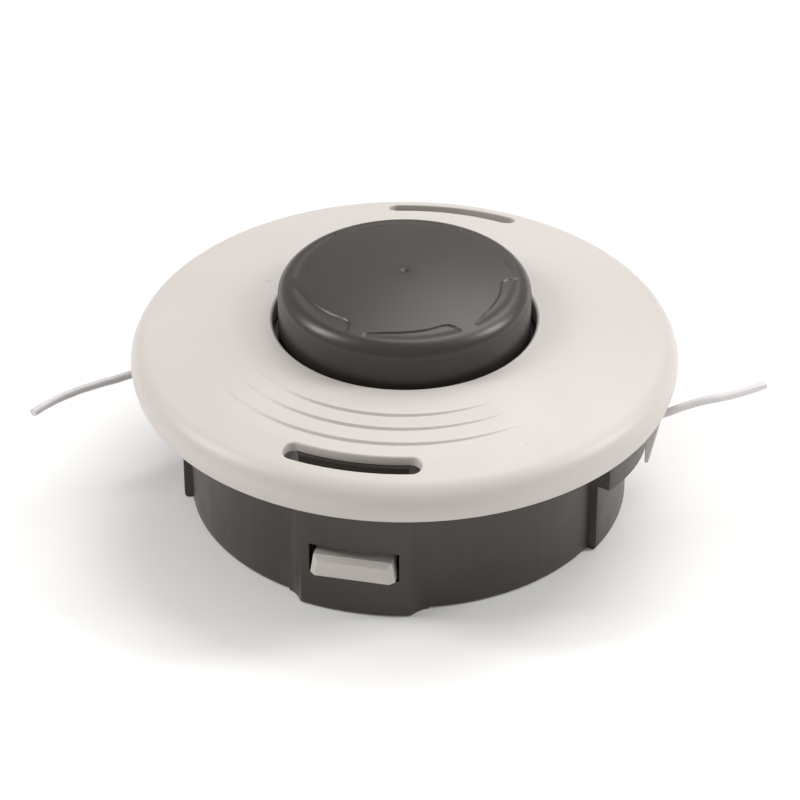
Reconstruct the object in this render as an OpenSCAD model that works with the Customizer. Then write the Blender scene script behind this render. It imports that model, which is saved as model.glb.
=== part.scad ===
// Bump-feed line trimmer head: cup housing, clipped cover, sprung spool, bump knob and two line ends.
// The head stands on the side that screws to the machine. The origin is the centre of that face.

/* [Cover] */
// Diameter of the cover, the widest part of the head
cover_d = 130; // [120:0.5:140]
// Wall of the cover
cover_wall = 2.2; // [1.8:0.1:2.6]
// Fall of the cover's top from the knob hole to the start of the shoulder
cover_crown = 4.5; // [3:0.25:6]
// Radius of the shoulder between the top and the rim
shoulder_radius = 5.6; // [4.5:0.1:6.5]
// Height of the rim's skirt below the shoulder
rim_skirt = 3.6; // [2:0.2:6]
// Depth of the collar that guides the knob
collar_depth = 5; // [3:0.5:5.5]
// Gap between the outermost arc step and the slot
step_gap = 4; // [3:0.25:6]
// Distance from one arc step to the next
step_pitch = 4.5; // [3.5:0.25:5]
// Number of arc steps in front and behind
step_count = 3; // [1:1:3]
// Depth of an arc step at its middle
step_depth = 0.4; // [0.2:0.05:0.6]

/* [Latch] */
// Width of the latch boss on either side of the tab
boss_side = 2.8; // [2.4:0.1:4]
// How far the latch boss stands out from the cup's wall
boss_rise = 2.8; // [2.4:0.1:3.4]
// Width of the latch tab at its foot
tab_w = 20; // [16:0.5:21]
// Height of the latch tab
tab_h = 6.4; // [5:0.2:8]
// Height of the tab's foot above the mount side
tab_z = 10.8; // [9.5:0.2:16]
// How far the tab stands out from the boss
tab_rise = 1.7; // [1:0.1:2.4]

/* [Housing] */
// How far the cover reaches out beyond the cup's wall
rim_overhang = 13; // [12:0.25:14]
// Height of the cup's wall
housing_h = 42.6; // [40:0.2:48]
// Wall of the cup
housing_wall = 2.4; // [2:0.1:3]
// Depth of the recess on the mount side
recess_h = 6; // [5:0.5:8]
// Thickness of the cup's floor
floor_t = 3; // [2.5:0.1:4]
// Diameter of the post that the spool turns on
post_d = 24; // [23:0.5:26]
// Diameter of the hub boss on the mount side
hub_d = 28; // [27:0.5:34]
// How far the hub's face lies above the cup's foot
hub_sink = 1; // [0.5:0.1:2]
// Number of ribs on the mount side
rib_count = 12; // [6:2:16]
// Thickness of those ribs
rib_t = 1.8; // [1.4:0.1:2.4]

/* [Line exit] */
// Height of the line exits above the mount side
eyelet_z = 26.5; // [25:0.25:29]
// Bore of the metal eyelets
eyelet_bore = 3.8; // [3.2:0.1:4.4]
// Outer diameter of the eyelet's sleeve
eyelet_d = 7; // [6.4:0.1:8]
// Outer diameter of the eyelet's flange
eyelet_flange_d = 11; // [9.5:0.25:12]
// How far the exit block reaches from the cup's wall
block_rise = 6.8; // [6:0.1:7.4]
// Height of the exit block's foot
block_z = 19; // [16:0.5:20]
// Half the angle that the exit block spans
block_half_angle = 20.7; // [17:0.1:24]
// Diameter of the cutting line
line_d = 2; // [1.6:0.1:2.7]

/* [Drive insert] */
// Minor diameter of the insert's M10 x 1 left-hand thread
thread_bore = 8.917; // [6.917:0.5:8.917]
// Hexagon across its flats
insert_af = 16; // [13:0.5:17]
// Length of the hexagon
insert_hex_h = 12; // [8:0.5:14]
// Length of the whole insert
insert_h = 18; // [15:0.5:22]

/* [Knob] */
// Diameter of the bump knob
knob_d = 59.7; // [56:0.1:61]
// Height of the knob above the edge of its hole
knob_rise = 12.4; // [10:0.2:16]
// Gap between the knob and its hole
knob_gap = 1.35; // [0.8:0.05:1.6]
// Wall of the knob
knob_wall = 2.4; // [2:0.1:3]
// Radius of the domed top
knob_dome_r = 165; // [120:5:300]
// Radius of the knob's top edge
knob_fillet = 4; // [3:0.25:5]
// Depth of the six grip recesses
grip_depth = 0.6; // [0.3:0.05:0.8]
// Distance from the axis to the inner edge of a grip recess
grip_r = 23.4; // [22:0.1:24.5]

/* [Spool] */
// Gap between the spool's flanges and the cup's wall
spool_gap = 5.6; // [5:0.1:8]
// Thickness of the outer flanges
flange_t = 2; // [1.6:0.1:2.6]
// Thickness of the flange between the chambers
divider_t = 1.6; // [1.2:0.1:2.4]
// Outer diameter of the core that the line is wound on
core_d = 46; // [45:0.5:48]
// Wall of the core
core_wall = 2.2; // [1.8:0.1:2.6]
// Wall of the sleeve that runs on the post
sleeve_wall = 2.35; // [2:0.05:2.6]
// How far a bump pushes the spool down
bump_travel = 5; // [4:0.5:6]
// Height of the index lugs
lug_h = 2.9; // [2.6:0.1:3.4]
// Layers of line on each chamber
line_layers = 5; // [2:1:6]

/* [Spring] */
// Diameter of the spring wire
wire_d = 1.8; // [1.4:0.1:2]
// Turns of the spring, with its two closed ends
spring_turns = 6; // [5:0.5:6]
// Thickness of the lower washer
washer_t = 1.2; // [1:0.1:1.6]
// Thickness of the spring cap's plate
cap_t = 1.2; // [1:0.1:1.6]

/* [Hidden] */
$fn = 96;

// Clearances
run_gap = 0.3;
post_gap = 0.25;
seat_gap = 0.1;
mould_gap = 0.05;
weld = 0.3;
far = 80;

// Radii
cover_r = cover_d / 2;
housing_r = cover_r - rim_overhang;
inner_r = housing_r - housing_wall;
spool_r = inner_r - spool_gap;
knob_r = knob_d / 2;
hole_r = knob_r + knob_gap;
edge_r = cover_r - shoulder_radius;
post_r = post_d / 2;
core_r = core_d / 2;
socket_r = core_r - core_wall;
sleeve_in_r = post_r + post_gap;
sleeve_out_r = sleeve_in_r + sleeve_wall;
boss_r = housing_r + boss_rise;
tab_r = boss_r + tab_rise;
block_reach = housing_r + block_rise;
boss_half_angle = asin((tab_w / 2 + boss_side) / boss_r);

// The cover's underside rests on the cup's outer top edge
function crown_fall(r) = cover_crown * pow(max(0, r - hole_r) / (edge_r - hole_r), 1.6);
hole_z = housing_h + seat_gap + cover_wall + crown_fall(housing_r);
function cover_top(r) = hole_z - crown_fall(r);
function cover_under(r) = cover_top(r) - cover_wall;
edge_z = cover_top(edge_r);
// The shoulder leaves the crown where their slopes are the same
shoulder_start = 90 - atan(1.6 * cover_crown / (edge_r - hole_r));
rim_mid_z = cover_top(edge_r + shoulder_radius * cos(shoulder_start))
    - shoulder_radius * sin(shoulder_start);
rim_low_z = rim_mid_z - rim_skirt;
knob_top_z = hole_z + knob_rise;

// Index lugs: six on the cover, six on the floor and six on each face of the spool
lug_count = 6;
lug_pitch = 360 / lug_count;
lug_angle = 12;
lug_play = 1.5;
collar_wall = 1.8;
lug_in_r = hole_r + collar_wall + 2 * run_gap;
lug_out_r = lug_in_r + 0.52 * (spool_r - lug_in_r);
cover_lug_start = lug_angle + lug_play;
floor_lug_start = 44;

// Heights of the floor and the spool
floor_z = recess_h + floor_t;
spool_top = cover_under(lug_out_r) - run_gap - lug_h;
spool_bottom = floor_z + run_gap + lug_h + bump_travel;
chamber_h = (spool_top - spool_bottom - 2 * flange_t - divider_t) / 2;
divider_z = spool_bottom + flange_t + chamber_h;
post_top = spool_top - 3.6;

// The knob's snap fingers pass a lip in the spool's socket
socket_depth = 9.5;
web_t = 2;
web_top = spool_top - socket_depth;
web_under = web_top - web_t;
lip_reach = 1;
lip_t = 1.4;
lip_top = spool_top - 1.8;
finger_out_r = socket_r - lip_reach - run_gap;
finger_in_r = finger_out_r - 2.2;
barb_r = socket_r - run_gap;
barb_h = 2;
key_count = 3;
key_angle = 10;
key_play = 1.5;

// Spring seats
cap_top = web_under - run_gap;
spring_bottom = floor_z + washer_t + run_gap;
spring_top = cap_top - cap_t - run_gap;
spring_r = (sleeve_out_r + socket_r) / 2 - 0.1;
cap_skirt = 3;
wire_sides = 8;
turn_steps = 24;

// Latch and its window
arm_out_r = inner_r + 1.8;
arm_in_r = inner_r - 0.4;
pocket_r = boss_r - housing_wall;
arm_half_angle = asin((tab_w / 2 - 0.6) / arm_out_r);
window_gap = 0.6;
pocket_half_angle = atan((tab_w / 2 + window_gap) / arm_out_r);
tab_chamfer = 1;
tab_taper = 1.6;

// Cover slots lie straight above the latch tabs
slot_w = 4.7;
slot_r = tab_r - 0.1;
slot_half_angle = boss_half_angle + 0.4;
step_out_r = slot_r - slot_w / 2 - step_gap;

// Line guard fins
fin_angle = 8;
fin_t = 1.6;
fin_in_r = block_reach + 1.7;
fin_tip_z = eyelet_z - 5.9;

// Exit block face
face_r = 40;
face_x = block_reach - face_r;
pad_rise = 1.6;
pad_half_angle = 20;
foot_round = 1;

function arc(cx, cz, r, a0, a1, n) = [for (i = [0:n])
    let (a = a0 + (a1 - a0) * i / n) [cx + r * cos(a), cz + r * sin(a)]];

// A block between two radii and two angles
module sector(r_in, r_out, a0, a1, z0, z1) {
    translate([0, 0, z0]) rotate([0, 0, a0]) rotate_extrude(angle = a1 - a0)
        translate([r_in, 0]) square([r_out - r_in, z1 - z0]);
}

module ring(r_in, r_out, z0, z1) {
    translate([0, 0, z0]) difference() {
        cylinder(r = r_out, h = z1 - z0);
        translate([0, 0, -1]) cylinder(r = r_in, h = z1 - z0 + 2);
    }
}

module lugs(start, z0, z1) {
    for (i = [0:lug_count - 1])
        sector(lug_in_r, lug_out_r, start + i * lug_pitch, start + lug_angle + i * lug_pitch, z0, z1);
}

// Runs its children at the front and at the back
module both_latches() {
    for (a = [-90, 90]) rotate([0, 0, a]) children();
}

// Runs its children at the right and at the left
module both_exits() {
    for (a = [0, 180]) rotate([0, 0, a]) children();
}

// The space that the cover fills above the cup
module under_cover_cut() {
    radii = [for (i = [0:8]) hole_r + (edge_r - hole_r) * i / 8];
    rotate_extrude() polygon(concat(
        [[0, hole_z + far]],
        [[0, cover_under(hole_r) - seat_gap]],
        [for (r = radii) [r, cover_under(r) - seat_gap]],
        [[cover_r + 5, cover_under(edge_r) - seat_gap], [cover_r + 5, hole_z + far]]));
}

// Part of the cup's outline between the cup's inside and a larger radius, with a rounded foot
module wall_band(r) {
    rotate_extrude() polygon(concat(
        [[inner_r, 0]],
        arc(r - foot_round, foot_round, foot_round, -90, 0, 4),
        [[r, housing_h + 3], [inner_r, housing_h + 3]]));
}

// Wedge along +X whose sides are hollow grooves where the boss meets the cup
module boss_wedge() {
    groove = 5.2;
    side = [for (i = [0:6]) let (t = i / 6, a = boss_half_angle + groove * (1 - t),
                                 r = housing_r - 0.2 + (boss_rise + 0.2) * t * t)
            [r * cos(a), r * sin(a)]];
    tip = far * [cos(boss_half_angle), sin(boss_half_angle)];
    outline = concat([[0, 0]], side, [tip]);
    linear_extrude(far) polygon(concat(outline,
        [for (i = [len(outline) - 1:-1:1]) [outline[i][0], -outline[i][1]]]));
}

module wedge(half_angle) {
    linear_extrude(far)
        polygon([[0, 0], far * [cos(half_angle), sin(half_angle)],
                 far * [cos(half_angle), -sin(half_angle)]]);
}

module cup() {
    foot_r = housing_r - 0.3;
    rotate_extrude() polygon(concat(
        [[0, hub_sink], [hub_d / 2, hub_sink], [hub_d / 2, recess_h], [inner_r, recess_h], [inner_r, 0]],
        arc(foot_r - foot_round, foot_round, foot_round, -90, 0, 4),
        [[housing_r, housing_h - 4], [housing_r, housing_h + 3], [inner_r, housing_h + 3],
         [inner_r, floor_z], [post_r, floor_z], [post_r, post_top - 1], [post_r - 1, post_top],
         [0, post_top]]));
}

module exit_block() {
    difference() {
        intersection() {
            translate([face_x, 0, block_z]) cylinder(r = face_r, h = far);
            wedge(block_half_angle);
        }
        translate([0, 0, -1]) cylinder(r = inner_r + 0.4, h = far + 2);
        // cored pockets beside the eyelet, open at the top
        for (s = [-1, 1]) difference() {
            intersection() {
                translate([face_x, 0, block_z + housing_wall])
                    cylinder(r = face_r - housing_wall, h = far);
                rotate([0, 0, s * 13]) translate([0, 0, 1]) wedge(5.4);
            }
            cylinder(r = housing_r, h = far);
        }
    }
}

module latch_pocket() {
    sector(inner_r - 2, pocket_r, -pocket_half_angle, pocket_half_angle, floor_z, far);
}

module latch_window() {
    translate([pocket_r - 2, -tab_w / 2 - window_gap, tab_z - window_gap])
        cube([boss_rise + 10, tab_w + 2 * window_gap, tab_h + 2 * window_gap]);
}

module insert_pocket() {
    hex_top = hub_sink + insert_hex_h + mould_gap;
    translate([0, 0, -1])
        cylinder(d = (insert_af + 2 * mould_gap) / cos(30), h = hex_top + 1, $fn = 6);
    cylinder(d = insert_af - 3 + 2 * mould_gap, h = hub_sink + insert_h + mould_gap);
    cylinder(d = thread_bore + 1.7, h = hub_sink + insert_h + 12);
}

module eyelet_seat() {
    translate([inner_r - 2, 0, eyelet_z]) rotate([0, 90, 0])
        cylinder(d = eyelet_d + 2 * mould_gap, h = block_rise + 20);
    translate([block_reach - 1.2, 0, eyelet_z]) rotate([0, 90, 0])
        cylinder(d = eyelet_flange_d + 2 * mould_gap, h = 10);
}

// Dark moulded cup with hub, post, latch bosses, line exit blocks, index lugs and ribs
module housing() {
    color([0.30, 0.28, 0.26]) difference() {
        union() {
            cup();
            both_latches() intersection() {
                wall_band(boss_r);
                boss_wedge();
            }
            both_exits() {
                intersection() {
                    wall_band(housing_r + pad_rise);
                    wedge(pad_half_angle);
                }
                exit_block();
            }
            lugs(floor_lug_start, floor_z - weld, floor_z + lug_h);
            for (i = [0:rib_count - 1]) rotate([0, 0, (i + 0.5) * 360 / rib_count])
                translate([hub_d / 2 - 1, -rib_t / 2, hub_sink + 0.5])
                    cube([inner_r - hub_d / 2 + 1.5, rib_t, recess_h - hub_sink]);
        }
        under_cover_cut();
        both_latches() {
            latch_pocket();
            latch_window();
        }
        both_exits() eyelet_seat();
        insert_pocket();
    }
}

// Steel insert with a hexagon that the hub is moulded round
module drive_insert() {
    color([0.62, 0.62, 0.64]) translate([0, 0, hub_sink]) difference() {
        union() {
            cylinder(d = insert_af / cos(30), h = insert_hex_h, $fn = 6);
            cylinder(d = insert_af - 3, h = insert_h);
        }
        translate([0, 0, -1]) cylinder(d = thread_bore, h = insert_h + 2);
    }
}

// Flanged metal sleeve with a rounded mouth at each end, lying along +X
module eyelet() {
    mouth = 1.2;
    x0 = inner_r - 0.2;
    x1 = block_reach + 0.4;
    bore_r = eyelet_bore / 2;
    color([0.72, 0.71, 0.70]) translate([0, 0, eyelet_z]) rotate([0, 90, 0])
        rotate_extrude() polygon(concat(
            [[eyelet_d / 2, x0], [eyelet_d / 2, block_reach - 1.2],
             [eyelet_flange_d / 2, block_reach - 1.2], [eyelet_flange_d / 2, x1 - 0.4],
             [eyelet_flange_d / 2 - 0.4, x1]],
            arc(bore_r + mouth, x1 - mouth, mouth, 90, 180, 5),
            arc(bore_r + mouth, x0 + mouth, mouth, 180, 270, 5)));
}

module eyelet_right() {
    eyelet();
}

module eyelet_left() {
    rotate([0, 0, 180]) eyelet();
}

// The cover's disc, shoulder, rim and collar
module cover_shell() {
    lip = 0.8;
    radii = [for (i = [1:9]) hole_r + lip + (edge_r - hole_r - lip) * i / 9];
    inner = shoulder_radius - cover_wall;
    rotate_extrude() polygon(concat(
        [[hole_r, hole_z - collar_depth]],
        arc(hole_r + lip, hole_z - lip, lip, 180, 90, 3),
        [for (r = radii) [r, cover_top(r)]],
        arc(edge_r, rim_mid_z, shoulder_radius, shoulder_start, 0, 8),
        [[cover_r - 0.6, rim_low_z + 0.5], [cover_r - 1.1, rim_low_z],
         [cover_r - cover_wall, rim_low_z]],
        arc(edge_r, rim_mid_z, inner, 0, shoulder_start, 5),
        [for (i = [8:-1:0]) let (r = radii[i]) [r - 0.4, cover_under(r - 0.4)]],
        [[hole_r + collar_wall, cover_under(hole_r)],
         [hole_r + collar_wall, hole_z - collar_depth]]));
}

// Shallow terraces that fall outwards and fade at both ends
module arc_steps() {
    fade = 0.293;
    for (i = [0:step_count - 1]) {
        r = step_out_r - i * step_pitch;
        tilt = atan(step_depth / (fade * r));
        intersection() {
            ring(r, edge_r + 2, hole_z - 10, hole_z + 5);
            translate([r, 0, cover_top(r) - step_depth]) rotate([0, tilt, 0])
                translate([-r + 3, -far, 0]) cube([far, 2 * far, 8]);
        }
    }
}

module cover_slot() {
    end_angle = slot_half_angle - asin(slot_w / 2 / slot_r) + 2.4;
    sector(slot_r - slot_w / 2, slot_r + slot_w / 2, -end_angle, end_angle, rim_low_z, hole_z + 5);
    for (s = [-1, 1]) rotate([0, 0, s * end_angle])
        translate([slot_r, 0, rim_low_z]) rotate([0, 0, -s * 90]) cylinder(d = slot_w, h = far);
}

// Latch tab: a slab that narrows upwards, with chamfered top and sides
module latch_tab() {
    root = arm_out_r - weld;
    face = tab_rise + boss_r;
    module plate(x, w0, w1, z1) {
        translate([x, 0, tab_z]) rotate([90, 0, 90]) linear_extrude(0.01)
            polygon([[-w0 / 2, 0], [w0 / 2, 0], [w1 / 2, z1], [-w1 / 2, z1]]);
    }
    hull() {
        plate(root, tab_w, tab_w - tab_taper, tab_h);
        plate(face - tab_chamfer, tab_w, tab_w - tab_taper, tab_h);
    }
    hull() {
        plate(face - tab_chamfer, tab_w, tab_w - tab_taper, tab_h);
        plate(face, tab_w - 2 * tab_chamfer, tab_w - tab_taper - 2 * tab_chamfer, tab_h - tab_chamfer);
    }
}

module snap_arm() {
    sector(arm_in_r, arm_out_r, -arm_half_angle, arm_half_angle, tab_z, cover_under(arm_in_r) + weld);
    latch_tab();
}

module guard_fin() {
    rotate([90, 0, 0]) translate([0, 0, -fin_t / 2]) linear_extrude(fin_t) polygon([
        [fin_in_r, edge_z - 1.4], [fin_in_r, fin_tip_z], [fin_in_r + 0.8, fin_tip_z],
        [cover_r - 0.9, rim_low_z + 0.4], [cover_r - 1, rim_mid_z], [edge_r + 2.4, edge_z - 1.4]]);
}

// Off-white moulding: disc, rim, collar, index lugs, locating ring, snap arms and line guards
module cover() {
    color([0.90, 0.88, 0.85]) {
        difference() {
            union() {
                cover_shell();
                ring(inner_r - run_gap - 1.7, inner_r - run_gap,
                     cover_under(inner_r) - 2.5, cover_under(inner_r) + weld);
                lugs(cover_lug_start, spool_top + run_gap, cover_under(lug_in_r) + weld);
            }
            both_latches() {
                arc_steps();
                cover_slot();
            }
        }
        both_latches() snap_arm();
        both_exits() for (s = [-1, 1]) rotate([0, 0, s * fin_angle]) guard_fin();
    }
}

module lower_washer() {
    color([0.66, 0.66, 0.68]) ring(post_r + 0.4, socket_r - 0.8, floor_z, floor_z + washer_t);
}

// Height of the wire's centre after a number of turns: one closed turn at each end
function spring_rise(t) =
    let (low = spring_bottom + wire_d / 2, high = spring_top - wire_d / 2,
         closed = wire_d * 1.02, open = (high - low - 2 * closed) / (spring_turns - 2))
    low + (t < 1 ? t * closed
         : t < spring_turns - 1 ? closed + (t - 1) * open
         : closed + (spring_turns - 2) * open + (t - spring_turns + 1) * closed);

module spring() {
    steps = spring_turns * turn_steps;
    points = [for (i = [0:steps], k = [0:wire_sides - 1])
        let (a = 360 * i / turn_steps, b = 360 * k / wire_sides,
             r = spring_r + wire_d / 2 * cos(b), z = spring_rise(i / turn_steps) + wire_d / 2 * sin(b))
        [r * cos(a), r * sin(a), z]];
    color([0.55, 0.55, 0.57]) polyhedron(points, tube_faces(steps, wire_sides));
}

// Flat ring with a short inner skirt that centres the spring
module spring_cap() {
    skirt_r = spring_r - wire_d / 2 - 0.2;
    color([0.36, 0.36, 0.38]) rotate_extrude() polygon([
        [sleeve_out_r + run_gap, cap_top], [sleeve_out_r + run_gap, cap_top - cap_t - cap_skirt],
        [skirt_r, cap_top - cap_t - cap_skirt], [skirt_r, cap_top - cap_t],
        [socket_r - 0.5, cap_top - cap_t], [socket_r - 0.5, cap_top]]);
}

// Moulded spool: sleeve, socket for the knob, core, three flanges and both sets of index lugs
module spool() {
    flange_r = spool_r;
    color([0.20, 0.20, 0.21]) {
        difference() {
            rotate_extrude() polygon([
                [sleeve_in_r, spool_bottom - 1], [sleeve_out_r, spool_bottom - 1],
                [sleeve_out_r, web_under], [socket_r, web_under],
                [socket_r, spool_bottom], [flange_r, spool_bottom],
                [flange_r, spool_bottom + flange_t], [core_r, spool_bottom + flange_t],
                [core_r, divider_z], [flange_r, divider_z],
                [flange_r, divider_z + divider_t], [core_r, divider_z + divider_t],
                [core_r, spool_top - flange_t], [flange_r, spool_top - flange_t],
                [flange_r, spool_top], [socket_r, spool_top],
                [socket_r, lip_top], [socket_r - lip_reach, lip_top],
                [socket_r - lip_reach, lip_top - lip_t], [socket_r, lip_top - lip_t],
                [socket_r, web_top], [sleeve_out_r, web_top],
                [sleeve_out_r, spool_top - 1], [sleeve_in_r, spool_top - 1]]);
            // notches that hold the line while it is wound
            for (a = [0, 180]) rotate([0, 0, a]) translate([flange_r - 5, -line_d / 2, divider_z - 1])
                cube([10, line_d, divider_t + 2]);
        }
        for (i = [0:key_count - 1])
            sector(finger_in_r + 0.4, socket_r + weld, i * 120 - key_angle / 2, i * 120 + key_angle / 2,
                   web_top - weld, lip_top - weld);
        lugs(0, spool_bottom - lug_h, spool_bottom + weld);
        lugs(0, spool_top - weld, spool_top + lug_h);
    }
}

// Wound line: a solid body of turns whose outer layer shows
module line_coil(z0) {
    turns = floor((chamber_h - 0.2) / line_d);
    pitch = (chamber_h - 0.2) / turns;
    outer_r = core_r + line_layers * line_d;
    color([0.86, 0.85, 0.87]) rotate_extrude() union() {
        translate([core_r + seat_gap, z0 + 0.3])
            square([outer_r - core_r - line_d / 2, chamber_h - 0.6]);
        for (i = [0:turns - 1])
            translate([outer_r - line_d / 2, z0 + 0.1 + (i + 0.5) * pitch]) circle(d = line_d);
    }
}

module line_coil_lower() {
    line_coil(spool_bottom + flange_t);
}

module line_coil_upper() {
    line_coil(divider_z + divider_t);
}

// Domed shell with six grip recesses, ribs and three snap fingers
module bump_knob() {
    dome_z = knob_top_z - knob_dome_r;
    function dome(r) = dome_z + sqrt(knob_dome_r * knob_dome_r - r * r);
    fillet_r = knob_r - knob_fillet;
    fillet_z = dome(fillet_r) - knob_fillet;
    inner_knob_r = knob_r - knob_wall;
    skirt_z = spool_top + seat_gap;
    fillet_start = 90 - asin(fillet_r / knob_dome_r);
    ceiling_r = fillet_r - 1;
    color([0.29, 0.27, 0.25]) {
        difference() {
            rotate_extrude() polygon(concat(
                [for (i = [0:8]) let (r = fillet_r * i / 8) [r, dome(r)]],
                arc(fillet_r, fillet_z, knob_fillet, fillet_start, 0, 6),
                [[knob_r, skirt_z], [inner_knob_r, skirt_z], [inner_knob_r, fillet_z - 1]],
                [for (i = [4:-1:0]) let (r = ceiling_r * i / 4) [r, dome(r) - knob_wall]]));
            for (i = [0:5]) rotate([0, 0, i * 60 - 10]) grip_recess(dome(grip_r) - grip_depth);
            // small dimple where the moulding was fed
            translate([0, 0, knob_top_z + 1.6]) sphere(r = 2);
        }
        difference() {
            union() {
                ring(finger_in_r, finger_out_r, web_top + 0.6, dome(0) - knob_wall);
                ring(finger_in_r, barb_r, lip_top - lip_t - run_gap - barb_h, lip_top - lip_t - run_gap);
            }
            for (i = [0:key_count - 1])
                sector(finger_in_r - 1, barb_r + 1, i * 120 - key_angle / 2 - key_play,
                       i * 120 + key_angle / 2 + key_play, web_top, spool_top + 3);
        }
        for (i = [0:5]) rotate([0, 0, i * 60 + 30])
            translate([finger_out_r - weld, -0.8, spool_top + 4])
                cube([inner_knob_r - finger_out_r + 2 * weld, 1.6, fillet_z - spool_top - 5.6]);
    }
}

// A flat cut outside a chord of the dome, closed by a radial end
module grip_recess(floor_level) {
    intersection() {
        translate([grip_r, -far, floor_level]) cube([far, 2 * far, 10]);
        rotate([0, 0, -4]) translate([0, 0, floor_level - 1]) wedge(28);
    }
}

// Faces of a tube with the given number of steps along it, closed at both ends
function tube_faces(steps, sides) = concat(
    [[for (k = [0:sides - 1]) k]],
    [for (i = [0:steps - 1], k = [0:sides - 1])
        let (a = i * sides + k, b = i * sides + (k + 1) % sides) [a, a + sides, b + sides, b]],
    [[for (k = [sides - 1:-1:0]) steps * sides + k]]);

// Routes of the two line ends from inside the cup to the tip, measured from the mouth of the eyelet
right_route = [[-12.8, 0.4, 0], [-10.2, 0.4, 0], [-7.7, 0.4, 0], [-5.1, 0.4, 0], [-2.5, 0.4, 0.1],
               [0, 0.6, 0.3], [2.4, 1.3, 0.8], [4.7, 2.3, 1.4], [6.9, 3.5, 2], [9.1, 4.8, 2.4],
               [11.3, 6.1, 2.7], [13.5, 7.4, 2.8], [15.7, 8.7, 2.8], [17.8, 10.2, 2.7],
               [19.8, 11.7, 2.7], [21.8, 13.3, 2.7], [23.7, 15, 2.7], [25.6, 16.8, 2.7]];
left_route = [[12.8, -0.4, 0], [9.9, -0.4, 0], [6.9, -0.4, 0], [4, -0.4, 0], [1.1, -0.6, -0.3],
              [-1.7, -1.3, -0.8], [-4.4, -2.4, -1.4], [-6.9, -3.7, -2], [-9.4, -5.3, -2.4],
              [-11.7, -7.1, -2.6], [-14, -8.9, -2.6], [-16.1, -10.9, -2.6], [-18.2, -13, -2.5],
              [-20.1, -15.2, -2.5], [-22, -17.5, -2.5], [-23.6, -19.9, -2.5], [-25.1, -22.5, -2.5],
              [-26.4, -25.1, -2.5]];

function unit(v) = v / norm(v);

// Direction of a route at one of its points
function heading(p, i) = unit(p[min(i + 1, len(p) - 1)] - p[max(i - 1, 0)]);

module line_end(route, mouth_x) {
    sides = 8;
    mouth = [mouth_x, 0, eyelet_z];
    points = [for (i = [0:len(route) - 1], k = [0:sides - 1])
        let (along = heading(route, i), across = unit(cross([0, 0, 1], along)),
             up = cross(along, across), b = 360 * k / sides)
        mouth + route[i] + line_d / 2 * (cos(b) * across + sin(b) * up)];
    color([0.88, 0.87, 0.89]) polyhedron(points, tube_faces(len(route) - 1, sides));
}

module line_end_right() {
    line_end(right_route, block_reach);
}

module line_end_left() {
    line_end(left_route, -block_reach);
}

housing();
drive_insert();
eyelet_right();
eyelet_left();
cover();
lower_washer();
spring();
spring_cap();
spool();
line_coil_lower();
line_coil_upper();
bump_knob();
line_end_right();
line_end_left();
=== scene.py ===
# Looks for the trimmer head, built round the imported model. Lengths in the dictionaries are in millimetres.
import math

import bmesh
import bpy
from mathutils import Matrix, Vector


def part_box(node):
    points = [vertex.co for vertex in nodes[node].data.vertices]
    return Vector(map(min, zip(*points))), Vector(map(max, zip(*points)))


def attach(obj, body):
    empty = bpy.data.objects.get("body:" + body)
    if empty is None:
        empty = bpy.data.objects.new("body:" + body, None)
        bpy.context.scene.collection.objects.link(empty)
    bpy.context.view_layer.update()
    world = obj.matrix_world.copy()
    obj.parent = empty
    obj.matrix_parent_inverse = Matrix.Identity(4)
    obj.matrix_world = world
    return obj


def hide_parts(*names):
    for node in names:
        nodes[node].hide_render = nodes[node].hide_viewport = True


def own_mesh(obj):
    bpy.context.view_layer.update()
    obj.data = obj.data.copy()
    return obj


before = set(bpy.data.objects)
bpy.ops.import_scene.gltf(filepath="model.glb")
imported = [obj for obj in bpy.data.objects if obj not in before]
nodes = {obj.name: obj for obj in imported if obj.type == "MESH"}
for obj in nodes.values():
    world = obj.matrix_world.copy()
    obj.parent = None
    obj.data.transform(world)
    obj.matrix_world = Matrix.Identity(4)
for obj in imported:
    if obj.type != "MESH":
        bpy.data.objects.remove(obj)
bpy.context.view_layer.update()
scene = bpy.context.scene
mm = 0.001
fullTurn = 2 * math.pi


# Small helpers for numbers and colours

def easeStep(low, high, value):  # 0 below low, 1 above high, smooth between
    t = min(1, max(0, (value - low) / (high - low)))
    return t * t * (3 - 2 * t)


def colour(hexCode):  # an sRGB hex value as linear colour
    parts = [int(hexCode[i:i + 2], 16) / 255 for i in (1, 3, 5)]
    return [p / 12.92 if p <= 0.04045 else ((p + 0.055) / 1.055) ** 2.4 for p in parts] + [1]


def arcPoints(r, z, radius, start, end, count):  # points of an arc in the r, z plane, angles in degrees
    angles = [math.radians(start + (end - start) * i / count) for i in range(count + 1)]
    return [(r + radius * math.cos(a), z + radius * math.sin(a)) for a in angles]


def polar(vert):  # radius in mm and angle in degrees of a vertex about the drive axis
    return vert.co.xy.length / mm, math.degrees(math.atan2(vert.co.y, vert.co.x))


def fold(angle, pitch):  # an angle as its offset from the nearest multiple of pitch
    return (angle + pitch / 2) % pitch - pitch / 2


# Camera: fitted to the photograph's outline of the cover, the knob's hole and the cup's foot

camera = {
    "azimuth": 12.4, "elevation": 33.05,  # degrees
    "distance": 800, "lens": 151.3,
    "point": (0, 0, 37.4),  # a point on the drive axis ...
    "pixel": (404.5, 351.8),  # ... and where it is seen in the 800 x 800 picture
    "pixelsPerMm": 4.204,
}


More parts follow.
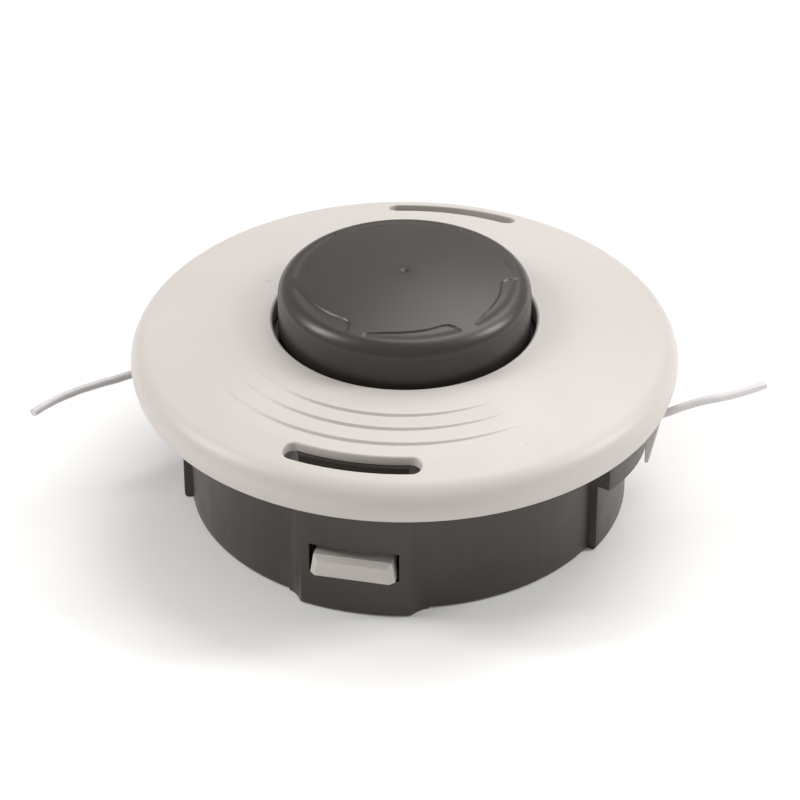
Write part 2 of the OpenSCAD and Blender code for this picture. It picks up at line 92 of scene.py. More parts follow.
def makeCamera(c):
    a, e = math.radians(c["azimuth"]), math.radians(c["elevation"])
    back = Vector((math.sin(a) * math.cos(e), -math.cos(a) * math.cos(e), math.sin(e)))
    right = Vector((math.cos(a), math.sin(a), 0))
    up = back.cross(right)
    point = Vector(c["point"]) * mm
    aim = point - (right * (c["pixel"][0] - 400) + up * (400 - c["pixel"][1])) / c["pixelsPerMm"] * mm
    data = bpy.data.cameras.new("camera")
    data.lens = c["lens"]
    cam = bpy.data.objects.new("camera", data)
    scene.collection.objects.link(cam)
    cam.location = point + back * c["distance"] * mm
    cam.rotation_euler = (aim - cam.location).to_track_quat("-Z", "Y").to_euler()
    scene.camera = cam


makeCamera(camera)
print("camera placed")


# Materials

def addNode(tree, kind, inputs=None, **settings):  # a node with its settings, and its values or links
    node = tree.nodes.new(kind)
    for name, value in settings.items():
        setattr(node, name, value)
    for name, value in (inputs or {}).items():
        if isinstance(value, bpy.types.NodeSocket):
            tree.links.new(value, node.inputs[name])
        else:
            node.inputs[name].default_value = value
    return node


def emptyMaterial(name):
    material = bpy.data.materials.new(name)
    material.use_nodes = True
    tree = material.node_tree
    tree.nodes.clear()
    place = addNode(tree, "ShaderNodeTexCoord").outputs["Object"]
    return material, tree, place


def endMaterial(tree, inputs):
    shader = addNode(tree, "ShaderNodeBsdfPrincipled", inputs)
    addNode(tree, "ShaderNodeOutputMaterial", {"Surface": shader.outputs[0]})


def noise(tree, place, size, detail=2.0, roughness=0.5):  # noise whose features are about size mm across
    return addNode(tree, "ShaderNodeTexNoise", {"Vector": place, "Scale": 1 / (size * mm), "Detail": detail,
                                                "Roughness": roughness}).outputs["Fac"]


def between(tree, factor, low, high):  # a value that follows a factor from low to high
    return addNode(tree, "ShaderNodeMapRange", {"Value": factor, "From Min": 0.2, "From Max": 0.8,
                                                "To Min": low, "To Max": high}).outputs["Result"]


def blendColours(tree, factor, first, second):
    mix = addNode(tree, "ShaderNodeMix", data_type="RGBA")
    tree.links.new(factor, mix.inputs["Factor"])
    for index, value in ((6, first), (7, second)):  # the A and B sockets of a colour mix
        if isinstance(value, bpy.types.NodeSocket):
            tree.links.new(value, mix.inputs[index])
        else:
            mix.inputs[index].default_value = value
    return mix.outputs[2]


def mouldedPlastic(name, finish):  # injection moulded: even tone, slight flow clouds, fine spark-eroded grain
    material, tree, place = emptyMaterial(name)
    clouds = noise(tree, place, finish["cloudSize"], 3)
    tone = blendColours(tree, between(tree, clouds, 0, 1), colour(finish["tone"]), colour(finish["cloudTone"]))
    if "specks" in finish:  # a few faint scuffs and dust specks
        spots = noise(tree, place, finish["speckSize"], 4, 0.6)
        mask = addNode(tree, "ShaderNodeMapRange", {"Value": spots, "From Min": finish["speckLimit"],
                                                    "From Max": finish["speckLimit"] + 0.05, "To Min": 0,
                                                    "To Max": finish["speckStrength"]}).outputs["Result"]
        tone = blendColours(tree, mask, tone, colour(finish["specks"]))
    if "blush" in finish:  # darker flow mark round the gate in the middle
        radius = addNode(tree, "ShaderNodeVectorMath", {0: addNode(tree, "ShaderNodeVectorMath", {
            0: place, 1: (1, 1, 0)}, operation="MULTIPLY").outputs[0]}, operation="LENGTH").outputs["Value"]
        mask = addNode(tree, "ShaderNodeMapRange", {"Value": radius, "From Min": 0.5 * mm, "From Max": 5 * mm,
                                                    "To Min": finish["blush"], "To Max": 0},
                       interpolation_type="SMOOTHSTEP").outputs["Result"]
        tone = blendColours(tree, mask, tone, colour(finish["blushTone"]))
    rough = between(tree, noise(tree, place, finish["patchSize"], 2), finish["roughness"] - finish["patch"],
                    finish["roughness"] + finish["patch"])
    grain = addNode(tree, "ShaderNodeBump", {"Height": noise(tree, place, finish["grainSize"], 2, 0.6),
                                             "Strength": finish["grain"], "Distance": finish["grainDepth"] * mm})
    endMaterial(tree, {"Base Color": tone, "Roughness": rough, "IOR": finish["ior"],
                       "Normal": grain.outputs["Normal"]})
    return material


# Glass-filled nylon of the cup: dark brown-grey, half matt, with a fine grain that softens every highlight
cupFinish = {"tone": "#2F2A25", "cloudTone": "#36302A", "cloudSize": 30, "roughness": 0.38, "patch": 0.05,
             "patchSize": 7, "grainSize": 0.45, "grain": 0.35, "grainDepth": 0.03, "ior": 1.53}
# Unfilled nylon of the knob: the same brown-grey, smoother, so its rounded edge gives a bright line
knobFinish = {"tone": "#2D2823", "cloudTone": "#322C27", "cloudSize": 18, "roughness": 0.36, "patch": 0.02,
              "patchSize": 9, "grainSize": 0.6, "grain": 0.2, "grainDepth": 0.02, "ior": 1.53,
              "blush": 0.5, "blushTone": "#191613"}
# Off-white polyamide of the cover: satin, with faint flow clouds and a few grey scuffs
coverFinish = {"tone": "#C0B9B3", "cloudTone": "#C5BFB9", "cloudSize": 40, "roughness": 0.42, "patch": 0.05,
               "patchSize": 12, "grainSize": 0.6, "grain": 0.12, "grainDepth": 0.02, "ior": 1.5,
               "specks": "#8E8883", "speckSize": 5, "speckLimit": 0.71, "speckStrength": 0.35}
# Black nylon of the spool and the cap ring: plain moulded
spoolFinish = {"tone": "#2A2A2C", "cloudTone": "#303032", "cloudSize": 25, "roughness": 0.5, "patch": 0.04,
               "patchSize": 8, "grainSize": 0.5, "grain": 0.25, "grainDepth": 0.02, "ior": 1.53}

cupNylon = mouldedPlastic("glassFilledNylon", cupFinish)
knobNylon = mouldedPlastic("mouldedNylon", knobFinish)
coverNylon = mouldedPlastic("satinOffWhitePolyamide", coverFinish)
spoolNylon = mouldedPlastic("blackMouldedNylon", spoolFinish)


def turnedSteel(name, tone, roughness, ringPitch):  # lathe-turned: fine rings about the drive axis
    material, tree, place = emptyMaterial(name)
    rings = addNode(tree, "ShaderNodeTexWave", {"Vector": place, "Scale": 1 / (ringPitch * mm) / 20,
                                                "Distortion": 0.4}, wave_type="RINGS", rings_direction="Z")
    scratches = noise(tree, place, 0.8, 3)
    rough = between(tree, scratches, roughness - 0.08, roughness + 0.08)
    cut = addNode(tree, "ShaderNodeBump", {"Height": rings.outputs["Fac"], "Strength": 0.15,
                                           "Distance": 0.01 * mm})
    tint = blendColours(tree, between(tree, noise(tree, place, 12, 2), 0, 1), colour(tone), colour("#8F8E8B"))
    endMaterial(tree, {"Base Color": tint, "Metallic": 1.0, "Roughness": rough, "Normal": cut.outputs["Normal"]})
    return material


# Zinc plated free-cutting steel of the insert, washer and spring: grey, with turning marks
plainSteel = turnedSteel("zincPlatedSteel", "#A9A8A4", 0.34, 0.25)
# Hard chrome of the eyelets: brighter and smoother, because the line runs over it
brightSteel = turnedSteel("polishedSteel", "#C9C7C3", 0.18, 0.3)


def extrudedLine(name):  # nylon monofilament: milky, glossy, with faint lengthwise drawing streaks
    material, tree, place = emptyMaterial(name)
    streaks = noise(tree, place, 6, 2)
    tone = blendColours(tree, between(tree, streaks, 0, 1), colour("#C9C5C5"), colour("#D2CFCF"))
    drawn = addNode(tree, "ShaderNodeBump", {"Height": noise(tree, place, 3, 2), "Strength": 0.05,
                                             "Distance": 0.02 * mm})
    endMaterial(tree, {"Base Color": tone, "Roughness": between(tree, streaks, 0.28, 0.38), "IOR": 1.53,
                       "Subsurface Weight": 0.25, "Subsurface Radius": (0.002, 0.002, 0.002),
                       "Normal": drawn.outputs["Normal"]})
    return material


lineNylon = extrudedLine("nylonMonofilament")
print("materials made")


# Making and finishing pieces

def newObject(name, bm):
    mesh = bpy.data.meshes.new(name)
    bm.to_mesh(mesh)
    bm.free()
    piece = bpy.data.objects.new(name, mesh)
    scene.collection.objects.link(piece)
    return piece


def lathe(outline, steps, closed=True):  # an outline of (r, z) points turned about the drive axis
    bm = bmesh.new()
    verts = [bm.verts.new((r * mm, 0, z * mm)) for r, z in outline]
    pairs = list(zip(verts, verts[1:] + verts[:1]))
    edges = [bm.edges.new(pair) for pair in (pairs if closed else pairs[:-1])]
    bmesh.ops.spin(bm, geom=verts + edges, cent=(0, 0, 0), axis=(0, 0, 1), angle=fullTurn, steps=steps,
                   use_merge=True)
    bmesh.ops.remove_doubles(bm, verts=bm.verts, dist=1e-7)
    bmesh.ops.recalc_face_normals(bm, faces=bm.faces)
    return bm


def sectorBlock(bm, corners, start, end, steps):  # a section of (r, z) corners swept between two angles
    turn = Matrix.Rotation(math.radians(start), 3, "Z")
    face = bm.faces.new([bm.verts.new(turn @ Vector((r * mm, 0, z * mm))) for r, z in corners])
    swept = bmesh.ops.spin(bm, geom=[face], cent=(0, 0, 0), axis=(0, 0, 1), angle=math.radians(end - start),
                           steps=steps, use_merge=False)
    return swept["geom_last"]


def plate(bm, corners, thickness, turn):  # a section of (r, z) corners as a flat plate on a radial plane
    face = bm.faces.new([bm.verts.new((r * mm, -thickness / 2 * mm, z * mm)) for r, z in corners])
    solid = bmesh.ops.extrude_face_region(bm, geom=[face])["geom"]
    top = [v for v in solid if isinstance(v, bmesh.types.BMVert)]
    bmesh.ops.translate(bm, verts=top, vec=(0, thickness * mm, 0))
    verts = list(face.verts) + top
    bmesh.ops.rotate(bm, verts=verts, cent=(0, 0, 0), matrix=Matrix.Rotation(math.radians(turn), 3, "Z"))


def roundEdges(bm, width, angle=30, segments=2):  # small moulded radius on sharp edges
    sharp = [e for e in bm.edges if len(e.link_faces) == 2 and e.calc_face_angle() > math.radians(angle)]
    bmesh.ops.bevel(bm, geom=sharp, offset=width * mm, offset_type="OFFSET", affect="EDGES", segments=segments,
                    profile=0.5, material=-1, clamp_overlap=True)


def combine(piece, tools, operation):  # joins tool objects to a piece or cuts them out of it
    for tool in tools:
        step = piece.modifiers.new("step", "BOOLEAN")
        step.object, step.operation, step.solver = tool, operation, "EXACT"
    mesh = bpy.data.meshes.new_from_object(piece.evaluated_get(bpy.context.evaluated_depsgraph_get()))
    piece.modifiers.clear()
    piece.data = mesh
    for tool in tools:
        bpy.data.objects.remove(tool)


def finishPiece(piece, material, body, replaced=(), sharp=32):
    piece.data.materials.clear()
    piece.data.materials.append(material)
    piece.data.polygons.foreach_set("use_smooth", [True] * len(piece.data.polygons))
    piece.data.set_sharp_from_angle(angle=math.radians(sharp))
    piece.data.update()
    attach(piece, body)
    if replaced:
        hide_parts(*replaced)
    print(piece.name, "has", len(piece.data.polygons), "faces")


# The two line ends

lineEnds = {
    "diameter": 2.0,
    "mouth": (58.8, 0, 26.5),  # where the line leaves the right eyelet
    "right": [(46.0, 0.4, 26.5), (48.6, 0.4, 26.5), (51.1, 0.4, 26.5), (53.7, 0.4, 26.5), (56.3, 0.4, 26.6),
              (58.8, 0.6, 26.8), (61.2, 1.3, 27.3), (63.5, 2.3, 27.9), (65.7, 3.5, 28.5), (67.9, 4.8, 28.9),
              (70.1, 6.1, 29.2), (72.3, 7.4, 29.3), (74.5, 8.7, 29.3), (76.6, 10.2, 29.2), (78.6, 11.7, 29.2),
              (80.6, 13.3, 29.2), (82.5, 15.0, 29.2), (84.4, 16.8, 29.2)],
    "left": [(-46.0, -0.4, 26.5), (-48.9, -0.4, 26.5), (-51.9, -0.4, 26.5), (-54.8, -0.4, 26.5),
             (-57.7, -0.6, 26.2), (-60.5, -1.3, 25.7), (-63.2, -2.4, 25.1), (-65.7, -3.7, 24.5),
             (-68.2, -5.3, 24.1), (-70.5, -7.1, 23.9), (-72.8, -8.9, 23.9), (-74.9, -10.9, 23.9),
             (-77.0, -13.0, 24.0), (-78.9, -15.2, 24.0), (-80.8, -17.5, 24.0), (-82.4, -19.9, 24.0),
             (-83.9, -22.5, 24.0), (-85.2, -25.1, 24.0)],
}


def makeLineEnd(side):
    route = [Vector(p) * mm for p in lineEnds[side]]
    curve = bpy.data.curves.new("line_" + side, "CURVE")
    curve.dimensions, curve.bevel_depth, curve.bevel_resolution = "3D", lineEnds["diameter"] / 2 * mm, 6
    curve.use_fill_caps, curve.resolution_u = True, 6
    spline = curve.splines.new("BEZIER")
    spline.bezier_points.add(len(route) - 1)
    for knot, point in zip(spline.bezier_points, route):
        knot.co, knot.handle_left_type, knot.handle_right_type = point, "AUTO", "AUTO"
    curve.materials.append(lineNylon)
    piece = bpy.data.objects.new("line_" + side, curve)
    scene.collection.objects.link(piece)
    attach(piece, "housing")
    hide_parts("line_end_" + side)


makeLineEnd("right")
makeLineEnd("left")


# The cover: crowned disc with shoulder, rim, collar, terraces, slots, snap arms and line guards

cover = {
    "steps": 360,
    "holeR": 31.2, "holeZ": 47.666, "lip": 0.8,
    "crown": 4.5, "crownPower": 1.6, "crownRings": 56, "edgeR": 59.4, "wall": 2.2,
    "shoulder": 5.6, "shoulderZ": 37.381, "shoulderStart": 75.68,
    "rimR": 64.4, "rimZ": 33.781, "rimInnerR": 62.8,
    "collarDepth": 5, "collarR": 33.0,
    "ringIn": 47.6, "ringOut": 49.3, "ringDepth": 2.5,
    "terraces": (40.6, 45.1, 49.8), "terraceDepth": 0.6, "terraceLength": 4.2, "terraceSpread": 45,
    "terraceSoft": 0.5,
    "slotR": 56.4, "slotHalf": 2.35, "slotEnd": 13.92, "slotRound": 0.45,
    "lugIn": 33.6, "lugOut": 39.0, "lugZ": 42.0, "lugStart": 13.5, "lugAngle": 12,
    "armIn": 49.2, "armOut": 51.4, "armHalf": 10.54, "armZ": 10.8,
    "tabHalf": 10, "tabTaper": 0.8, "tabHeight": 5.4, "tabFace": 56.3, "tabBorder": 1.2, "tabRoot": 51.1,
    "finAngle": 8, "finThickness": 1.6, "finTipZ": 20.6, "finIn": 60.5, "finOut": 61.3,
}


def coverTop(r):
    rise = max(0, r - cover["holeR"]) / (cover["edgeR"] - cover["holeR"])
    return cover["holeZ"] - cover["crown"] * rise ** cover["crownPower"]


def coverOutline():
    c = cover
    wall, foot = c["wall"], c["holeZ"] - c["collarDepth"]
    under = lambda r: coverTop(r) - wall
    tangent = math.radians(c["shoulderStart"])
    crownEnd = c["edgeR"] + c["shoulder"] * math.cos(tangent)
    crownStart = c["holeR"] + c["lip"]
    radii = [crownStart + (crownEnd - crownStart) * i / c["crownRings"] for i in range(c["crownRings"] + 1)]
    radii = [r for r in radii if all(abs(r - start) > 0.55 for start in c["terraces"])]
    radii += [start + d for start in c["terraces"] for d in (-0.5, -0.3, -0.2, -0.1, 0, 0.1, 0.2, 0.3, 0.5)]
    points = [(c["holeR"] + 0.3, foot), (c["holeR"], foot + 0.3)]
    points += arcPoints(crownStart, c["holeZ"] - c["lip"], c["lip"], 180, 92, 7)
    points += [(r, coverTop(r)) for r in sorted(radii)]
    points += arcPoints(c["edgeR"], c["shoulderZ"], c["shoulder"], c["shoulderStart"], 0, 18)[1:]
    points += [(64.85, 36.0)]
    points += arcPoints(c["rimR"] - 0.5, c["rimZ"] + 0.5, 0.5, -8, -90, 5)
    points += arcPoints(c["rimInnerR"] + 0.4, c["rimZ"] + 0.4, 0.4, -90, -180, 3)
    points += arcPoints(c["edgeR"], c["shoulderZ"], c["shoulder"] - wall, 0, c["shoulderStart"], 9)
    points += [(r, under(r)) for r in (59, 57.5, 56, 54.5, 53, 51.5, 50)]
    out, inside, low = c["ringOut"], c["ringIn"], under(c["ringOut"]) - c["ringDepth"]
    points += [(out, under(out)), (out, low + 0.25), (out - 0.25, low), (inside + 0.25, low),
               (inside, low + 0.25), (inside, under(inside))]
    points += [(r, under(r)) for r in (46, 44, 42, 40, 38, 36, 34.5)]
    points += [(c["collarR"] + 0.4, under(33.4)), (c["collarR"], under(33) - 0.4), (c["collarR"], foot + 0.3),
               (c["collarR"] - 0.3, foot)]
    return points


def terraceFall(r, angle):  # how far the arc terraces in front and behind sink the crown
    offset = fold(angle - 90, 180)
    fade = 1 - (1 - math.cos(math.radians(offset))) / (1 - math.cos(math.radians(cover["terraceSpread"])))
    if fade <= 0:
        return 0
    depth, soft, length = cover["terraceDepth"], cover["terraceSoft"], cover["terraceLength"]
    fall = 0
    for start in cover["terraces"]:
        edge = easeStep(start - soft / 2, start + soft / 2, r)
        fall += edge * max(0, depth * fade ** 0.8 * (1 - max(0, r - start) / length))
    return fall


def slotTools(side):  # three cutters a slot: the arc and its two round ends, with a rounded top edge
    c = cover
    half, lip = c["slotHalf"], c["slotRound"]
    flare = arcPoints(half + lip, -lip, lip, 180, 104, 5)
    section = [(half, -12)] + flare + [(flare[-1][0] + 1.2, 4.5)]
    arc = bmesh.new()
    across = [(c["slotR"] + d, z) for d, z in section] + [(c["slotR"] - d, z) for d, z in reversed(section)]
    sectorBlock(arc, across, side * 90 - c["slotEnd"], side * 90 + c["slotEnd"], 28)
    cutters = [arc]
    for end in (-1, 1):
        angle = math.radians(side * 90 + end * c["slotEnd"])
        cutter = lathe([(0, 4.5), (0, -12)] + section, 40)
        bmesh.ops.translate(cutter, verts=cutter.verts,
                            vec=Vector((math.cos(angle), math.sin(angle), 0)) * c["slotR"] * mm)
        cutters.append(cutter)
    for cutter in cutters:  # set down along the crown
        for v in cutter.verts:
            v.co.z += coverTop(v.co.xy.length / mm) * mm
        bmesh.ops.recalc_face_normals(cutter, faces=cutter.faces)
    return [newObject("slotCutter", cutter) for cutter in cutters]


def snapArms():
    c = cover
    bm = bmesh.new()
    for side in (-90, 90):
        top = coverTop(c["armIn"]) - c["wall"] + 0.4
        sectorBlock(bm, [(c["armIn"], c["armZ"]), (c["armOut"], c["armZ"]), (c["armOut"], top),
                         (c["armIn"], top)], side - c["armHalf"], side + c["armHalf"], 14)
    roundEdges(bm, 0.25, 40)
    bmesh.ops.recalc_face_normals(bm, faces=bm.faces)
    return newObject("snapArms", bm)


def latchTabs():
    c = cover
    bm = bmesh.new()
    for side in (-90, 90):
        low, high = c["armZ"], c["armZ"] + c["tabHeight"]
        corners = [(-c["tabHalf"], low), (c["tabHalf"], low), (c["tabHalf"] - c["tabTaper"], high),
                   (-c["tabHalf"] + c["tabTaper"], high)]
        face = bm.faces.new([bm.verts.new((c["tabRoot"] * mm, y * mm, z * mm)) for y, z in corners])
        made = list(face.verts)
        steps = ((c["tabFace"] - c["tabBorder"] - c["tabRoot"], 0), (c["tabBorder"], c["tabBorder"]))
        for depth, border in steps:  # straight sides, then the sloping border round the face
            solid = bmesh.ops.extrude_face_region(bm, geom=[face])["geom"]
            face = [f for f in solid if isinstance(f, bmesh.types.BMFace)][0]
            bmesh.ops.translate(bm, verts=face.verts, vec=(depth * mm, 0, 0))
            for v in face.verts:
                v.co.y -= math.copysign(border * mm, v.co.y)
                if v.co.z > (low + 1) * mm:
                    v.co.z -= border * mm
            made += list(face.verts)
        bmesh.ops.rotate(bm, verts=list(set(made)), cent=(0, 0, 0),
                         matrix=Matrix.Rotation(math.radians(side), 3, "Z"))
    bmesh.ops.recalc_face_normals(bm, faces=bm.faces)
    roundEdges(bm, 0.18, 25)
    return newObject("latchTabs", bm)


def guardFins():
    c = cover
    bm = bmesh.new()
    corners = [(c["finIn"], 41.6), (c["finIn"], c["finTipZ"]), (c["finOut"], c["finTipZ"]),
               (64.1, c["rimZ"] + 0.4), (64.0, c["shoulderZ"]), (61.6, 41.6)]
    for side in (0, 180):
        for angle in (-c["finAngle"], c["finAngle"]):
            plate(bm, corners, c["finThickness"], side + angle)
    bmesh.ops.recalc_face_normals(bm, faces=bm.faces)
    roundEdges(bm, 0.2, 40)
    return newObject("guardFins", bm)


def coverLugs():
    c = cover
    bm = bmesh.new()
    for i in range(6):
        start = c["lugStart"] + 60 * i
        sectorBlock(bm, [(c["lugIn"], c["lugZ"]), (c["lugOut"], c["lugZ"]), (c["lugOut"], 45.4 - 0.2),
                         (c["lugIn"], 45.4)], start, start + c["lugAngle"], 6)
    bmesh.ops.recalc_face_normals(bm, faces=bm.faces)
    roundEdges(bm, 0.2, 40)
    return newObject("coverLugs", bm)


def makeCover():
    bm = lathe(coverOutline(), cover["steps"])
    for v in bm.verts:
        r, angle = polar(v)
        if v.co.z / mm > coverTop(r) - 0.05 and r > cover["holeR"] + 1:
            v.co.z -= terraceFall(r, angle) * mm
    piece = newObject("cover_moulding", bm)
    combine(piece, slotTools(-1) + slotTools(1), "DIFFERENCE")
    combine(piece, [snapArms(), latchTabs(), guardFins(), coverLugs()], "UNION")
    finishPiece(piece, coverNylon, "housing", ["cover"])


makeCover()


# The bump knob: domed cap with six swept grip recesses

knob = {
    "steps": 720,
    "r": 29.85, "top": 60.066, "domeR": 165, "fillet": 4, "wall": 2.4, "skirtZ": 41.78,
    "fineFrom": 20.5, "fineRings": 30,
    "recessCentre": -12.7,  # degrees; the other five follow at 60 degrees
    "recessEdge": [(-29, 27.5), (-25, 25.4), (-15, 24.2), (-4, 23.7), (8, 23.3), (17, 22.8), (21, 23.1),
                   (23.5, 24.2), (25, 26.0), (26, 28.2)],  # offset in degrees, radius
    "recessDepth": 0.4, "recessSoft": 0.4, "recessRunOut": (24.4, 27.2),
    "gateR": 1.0, "gateDepth": 0.3,
    "fingerIn": 17.3, "fingerOut": 19.5, "fingerFoot": 32.79, "slitTop": 44.7, "slitHalf": 6.5,
    "barbR": 20.5, "barbLow": 36.19, "barbHigh": 38.19, "ribFoot": 45.7, "ribTop": 52.43, "ribThickness": 1.6,
}


def domeZ(r):
    return knob["top"] - knob["domeR"] + math.sqrt(knob["domeR"] ** 2 - r * r)


def knobOutline():
    k = knob
    filletR = k["r"] - k["fillet"]
    filletZ = domeZ(filletR) - k["fillet"]
    fine = [k["fineFrom"] + (filletR - k["fineFrom"]) * i / k["fineRings"] for i in range(k["fineRings"] + 1)]
    points = [(r, domeZ(r)) for r in [0, 0.4, 0.7, 1.0, 1.3, 2, 4, 7, 10, 13, 16, 18.5] + fine]
    points += arcPoints(filletR, filletZ, k["fillet"], 80.99, 0, 16)[1:]
    points += [(k["r"], filletZ - i * 3.5) for i in range(1, 4)]
    points += arcPoints(k["r"] - 0.3, k["skirtZ"] + 0.3, 0.3, 0, -90, 3)
    inside = k["r"] - k["wall"]
    points += [(inside + 0.2, k["skirtZ"]), (inside, k["skirtZ"] + 0.2), (inside, filletZ - 1.6)]
    points += arcPoints(filletR - 1, domeZ(filletR - 1) - k["wall"] - 2.2, 2.2, 0, 81, 5)
    points += [(r, domeZ(r) - k["wall"]) for r in (22, 18, 14, 10, 5, 0)]
    return points


def recessEdge(offset):  # radius of a recess's inner edge, and how steeply it crosses the radius there
    table = knob["recessEdge"]
    for (a, ra), (b, rb) in zip(table, table[1:]):
        if a < offset <= b:
            steep = (rb - ra) / math.radians(b - a) / ra
            return ra + (rb - ra) * (offset - a) / (b - a), math.hypot(1, steep)
    return 40, 1


def recessFall(r, angle):
    edge, lean = recessEdge(fold(angle - knob["recessCentre"], 60))
    half = knob["recessSoft"] / 2 * lean
    return knob["recessDepth"] * easeStep(edge - half, edge + half, r)


def knobInside():  # three barbed snap fingers under a ring, and six ribs out to the skirt
    k = knob
    inner, outer, foot = k["fingerIn"], k["fingerOut"], k["fingerFoot"]
    ring = lathe([(inner, k["slitTop"] - 0.2), (outer, k["slitTop"] - 0.2), (outer, 57.4), (inner, 57.4)], 90)
    fingers = bmesh.new()
    low = max(k["barbLow"], foot + 0.31)
    section = [(inner, foot), (outer - 0.3, foot), (outer, foot + 0.3), (outer, low), (k["barbR"] - 0.7, low),
               (k["barbR"], low + 0.7), (k["barbR"], k["barbHigh"]), (outer, k["barbHigh"]),
               (outer, k["slitTop"]), (inner, k["slitTop"])]
    for i in range(3):
        sectorBlock(fingers, section, 120 * i + k["slitHalf"], 120 * (i + 1) - k["slitHalf"], 26)
    bmesh.ops.recalc_face_normals(fingers, faces=fingers.faces)
    ribs = bmesh.new()
    for i in range(6):
        plate(ribs, [(outer - 0.5, k["ribFoot"]), (k["r"] - k["wall"] + 0.5, k["ribFoot"]),
                     (k["r"] - k["wall"] + 0.5, k["ribTop"]), (outer - 0.5, k["ribTop"])],
              k["ribThickness"], 60 * i + 30)
    bmesh.ops.recalc_face_normals(ribs, faces=ribs.faces)
    return [newObject("knobInside", bm) for bm in (ring, fingers, ribs)]


def makeKnob():
    k = knob
    bm = lathe(knobOutline(), k["steps"], closed=False)
    for v in bm.verts:
        r, angle = polar(v)
        outside = v.co.z / mm > domeZ(min(r, 28)) - k["wall"] + 0.3
        if outside and r > k["fineFrom"]:
            v.co.z -= recessFall(r, angle) * (1 - easeStep(*k["recessRunOut"], r)) * mm
        elif outside and r < k["gateR"]:  # gate mark in the middle
            v.co.z -= k["gateDepth"] * (1 - easeStep(0.35, k["gateR"], r)) * mm
    piece = newObject("knob_moulding", bm)
    combine(piece, knobInside(), "UNION")
    finishPiece(piece, knobNylon, "spool", ["bump_knob"], 40)


makeKnob()


# Pieces whose solids have the right shape: their copies get small moulded or turned edges

def dressNode(node, name, material, body, width, angle=30, segments=2, cutters=()):
    bm = bmesh.new()
    bm.from_mesh(nodes[node].data)
    bmesh.ops.remove_doubles(bm, verts=bm.verts, dist=1e-6)
    bmesh.ops.dissolve_limit(bm, angle_limit=math.radians(0.5), verts=bm.verts, edges=bm.edges)
    if width:
        roundEdges(bm, width, angle, segments)
    piece = newObject(name, bm)
    if cutters:
        combine(piece, cutters, "DIFFERENCE")
    finishPiece(piece, material, body, [node], 40)


# M10 x 1, left hand
thread = {"pitch": 1, "majorR": 5.0, "innerR": 4.28, "crest": 0.125, "turns": 21, "steps": 32}


def threadCutter():  # a 60 degree groove that turns down through the insert's bore
    t = thread
    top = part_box("drive_insert")[1][2] / mm + 1
    half = t["crest"] / 2 + (t["majorR"] - t["innerR"]) * math.tan(math.radians(30))
    corners = [(t["innerR"], top - half), (t["majorR"], top - t["crest"] / 2),
               (t["majorR"], top + t["crest"] / 2), (t["innerR"], top + half)]
    bm = bmesh.new()
    face = bm.faces.new([bm.verts.new((r * mm, 0, z * mm)) for r, z in corners])
    bmesh.ops.spin(bm, geom=[face], cent=(0, 0, 0), axis=(0, 0, 1), angle=fullTurn * t["turns"],
                   dvec=(0, 0, -t["pitch"] / t["steps"] * mm), steps=t["turns"] * t["steps"])
    bmesh.ops.recalc_face_normals(bm, faces=bm.faces)
    return newObject("threadCutter", bm)


dressNode("housing", "cup_moulding", cupNylon, "housing", 0.25)
dressNode("drive_insert", "drive_insert_body", plainSteel, "housing", 0.3,
          cutters=[threadCutter()])
dressNode("eyelet_right", "eyelet_right_sleeve", brightSteel, "housing", 0)
dressNode("eyelet_left", "eyelet_left_sleeve", brightSteel, "housing", 0)
dressNode("lower_washer", "washer", plainSteel, "housing", 0.15)
dressNode("spring_cap", "spring_seat", spoolNylon, "spring_cap", 0.15)
dressNode("spool", "spool_moulding", spoolNylon, "spool", 0.2)
dressNode("line_coil_lower", "wound_line_lower", lineNylon, "spool", 0)
dressNode("line_coil_upper", "wound_line_upper", lineNylon, "spool", 0)


# The spring: round wire, one closed turn at each end

spring = {"wire": 1.8, "r": 17.6, "bottom": 10.5, "top": 28.4, "turns": 6, "steps": 40, "sides": 14}


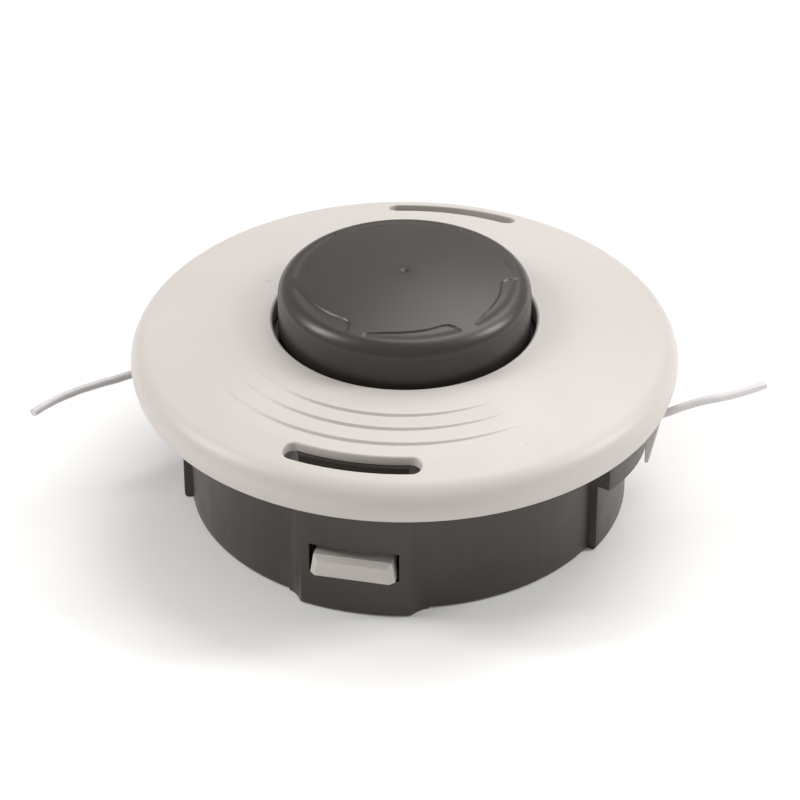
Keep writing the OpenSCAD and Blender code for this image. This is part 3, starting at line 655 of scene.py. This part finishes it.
def makeSpring():
    s = spring
    low, high = s["bottom"] + s["wire"] / 2, s["top"] - s["wire"] / 2
    closedRise = s["wire"] * 1.02
    openRise = (high - low - 2 * closedRise) / (s["turns"] - 2)
    bm = bmesh.new()
    ring = bmesh.ops.create_circle(bm, cap_ends=True, segments=s["sides"], radius=s["wire"] / 2 * mm,
                                   matrix=Matrix.Translation((s["r"] * mm, 0, low * mm))
                                   @ Matrix.Rotation(math.pi / 2, 4, "X"))
    last = list({f for v in ring["verts"] for f in v.link_faces})
    for turns, rise in ((1, closedRise), (s["turns"] - 2, openRise), (1, closedRise)):
        steps = s["steps"] * turns
        last = bmesh.ops.spin(bm, geom=last, cent=(0, 0, 0), axis=(0, 0, 1), angle=fullTurn * turns,
                              dvec=(0, 0, rise * turns / steps * mm), steps=steps)["geom_last"]
        last = [f for f in last if isinstance(f, bmesh.types.BMFace)]
    joins = [f for f in bm.faces if all(len(e.link_faces) > 2 for e in f.edges)]
    bmesh.ops.delete(bm, geom=joins, context="FACES_ONLY")  # the faces left where the three spins meet
    bmesh.ops.recalc_face_normals(bm, faces=bm.faces)
    piece = newObject("spring_wire", bm)
    finishPiece(piece, plainSteel, "housing", ["spring"], 50)
    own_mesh(piece)


makeSpring()


# Floor, light and background

studio = {
    "floorTone": "#F4F2F0", "floorHalf": 3.0,
    "world": 0.5,
    "view": "Standard", "exposure": 0.0,
    # name: azimuth and elevation from the camera's side in degrees, distance, width, height in m, watts
    "lamps": {
        "key": (150, 58, 1.4, 1.00, 1.00, 10.5),  # above and behind, as the dark risers in front show
        "left": (-88, 38, 0.9, 0.16, 0.40, 3.8),
        "right": (93, 36, 0.9, 0.16, 0.40, 3.8),
    },
}


def makeStudio(s):
    half = s["floorHalf"]
    bm = bmesh.new()
    bmesh.ops.create_grid(bm, x_segments=1, y_segments=1, size=half)
    floor = newObject("floor", bm)
    material, tree, place = emptyMaterial("paintedBoard")
    tone = blendColours(tree, between(tree, noise(tree, place, 300, 2), 0, 1), colour(s["floorTone"]),
                        colour("#F6F5F3"))
    endMaterial(tree, {"Base Color": tone, "Roughness": 0.9})
    floor.data.materials.append(material)
    world = bpy.data.worlds.new("studio")
    world.use_nodes = True
    world.node_tree.nodes["Background"].inputs["Color"].default_value = colour("#FFFFFF")
    world.node_tree.nodes["Background"].inputs["Strength"].default_value = s["world"]
    scene.world = world
    for name, (azimuth, elevation, distance, width, height, watts) in s["lamps"].items():
        a, e = math.radians(azimuth + camera["azimuth"]), math.radians(elevation)
        data = bpy.data.lights.new(name, "AREA")
        data.shape, data.size, data.size_y, data.energy = "RECTANGLE", width, height, watts
        lamp = bpy.data.objects.new(name, data)
        scene.collection.objects.link(lamp)
        target = Vector((0, 0, 0.03))
        lamp.location = target + Vector((math.sin(a) * math.cos(e), -math.cos(a) * math.cos(e),
                                         math.sin(e))) * distance
        lamp.rotation_euler = (target - lamp.location).to_track_quat("-Z", "Y").to_euler()
    scene.view_settings.view_transform = s["view"]
    scene.view_settings.exposure = s["exposure"]


makeStudio(studio)
print("studio lit")
